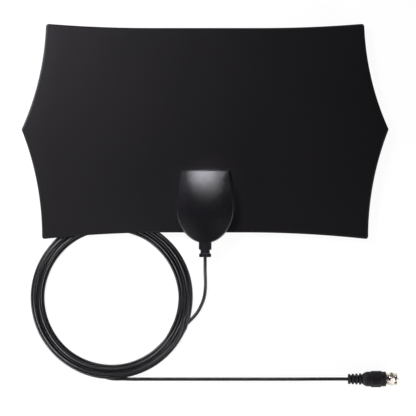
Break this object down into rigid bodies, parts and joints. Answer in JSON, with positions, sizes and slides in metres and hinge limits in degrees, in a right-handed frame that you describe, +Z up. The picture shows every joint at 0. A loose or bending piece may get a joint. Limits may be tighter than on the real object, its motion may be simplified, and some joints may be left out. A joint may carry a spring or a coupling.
{
  "type": "indoor tv antenna",
  "caption": "Flat black hexagonal panel antenna with hollow sides and a domed case on its lower edge, lying flat with a coiled thin coaxial cord that ends in a screw-on plug.",
  "frame": {"origin": "on the surface that the antenna lies on, midway between the panel's two tips and midway between its upper corners and the end of the strain relief", "axes": "+X along the panel's width towards the plug, +Y towards the panel's upper edge, +Z up out of the panel's front"},
  "size_m": [0.3294, 0.3175, 0.0177],
  "materials": {
    "panel_black": "fine matt sheet",
    "foil": "bare copper foil",
    "case_black": "satin moulded plastic",
    "screw_steel": "zinc plated",
    "board_green": "solder mask",
    "ferrite": "matt ferrite",
    "copper_wire": "enamelled wire",
    "chips": "ceramic",
    "brass_plain": "plain",
    "tinned": "tinned",
    "relief_black": "satin soft plastic",
    "cord_black": "satin PVC jacket",
    "bead_white": "milky",
    "boot_black": "matt soft plastic",
    "nickel": "bright nickel"
  },
  "bodies": {
    "antenna": {"front_sheet": "panel_black", "rear_sheet": "panel_black", "left_element": "foil", "right_element": "foil", "front_cover": "case_black", "rear_cover": "case_black", "cover_screws": "screw_steel", "circuit_board": "board_green", "balun_core": "ferrite", "balun_winding": "copper_wire", "chip_parts": "chips", "contact_rivets": "brass_plain", "braid_clamp": "tinned", "solder_joint": "tinned", "strain_relief": "relief_black", "entry_jacket": "cord_black", "entry_dielectric": "bead_white", "entry_conductor": "copper_wire", "cord_lead": "cord_black", "cord_coil": "cord_black", "cord_turnback": "cord_black", "cord_tail": "cord_black", "plug_boot": "boot_black", "plug_jacket_end": "cord_black", "plug_body": "nickel", "plug_insulator": "bead_white", "centre_pin": "copper_wire"},
    "coupling_nut": {"coupling_nut": "nickel"}
  },
  "joints": [
    {"name": "coupling_nut_spin", "type": "hinge", "parent": "antenna", "child": "coupling_nut", "pos_m": [0.16082, -0.20855, 0.0073], "axis": [1, 0, 0], "continuous": true}
  ]
}
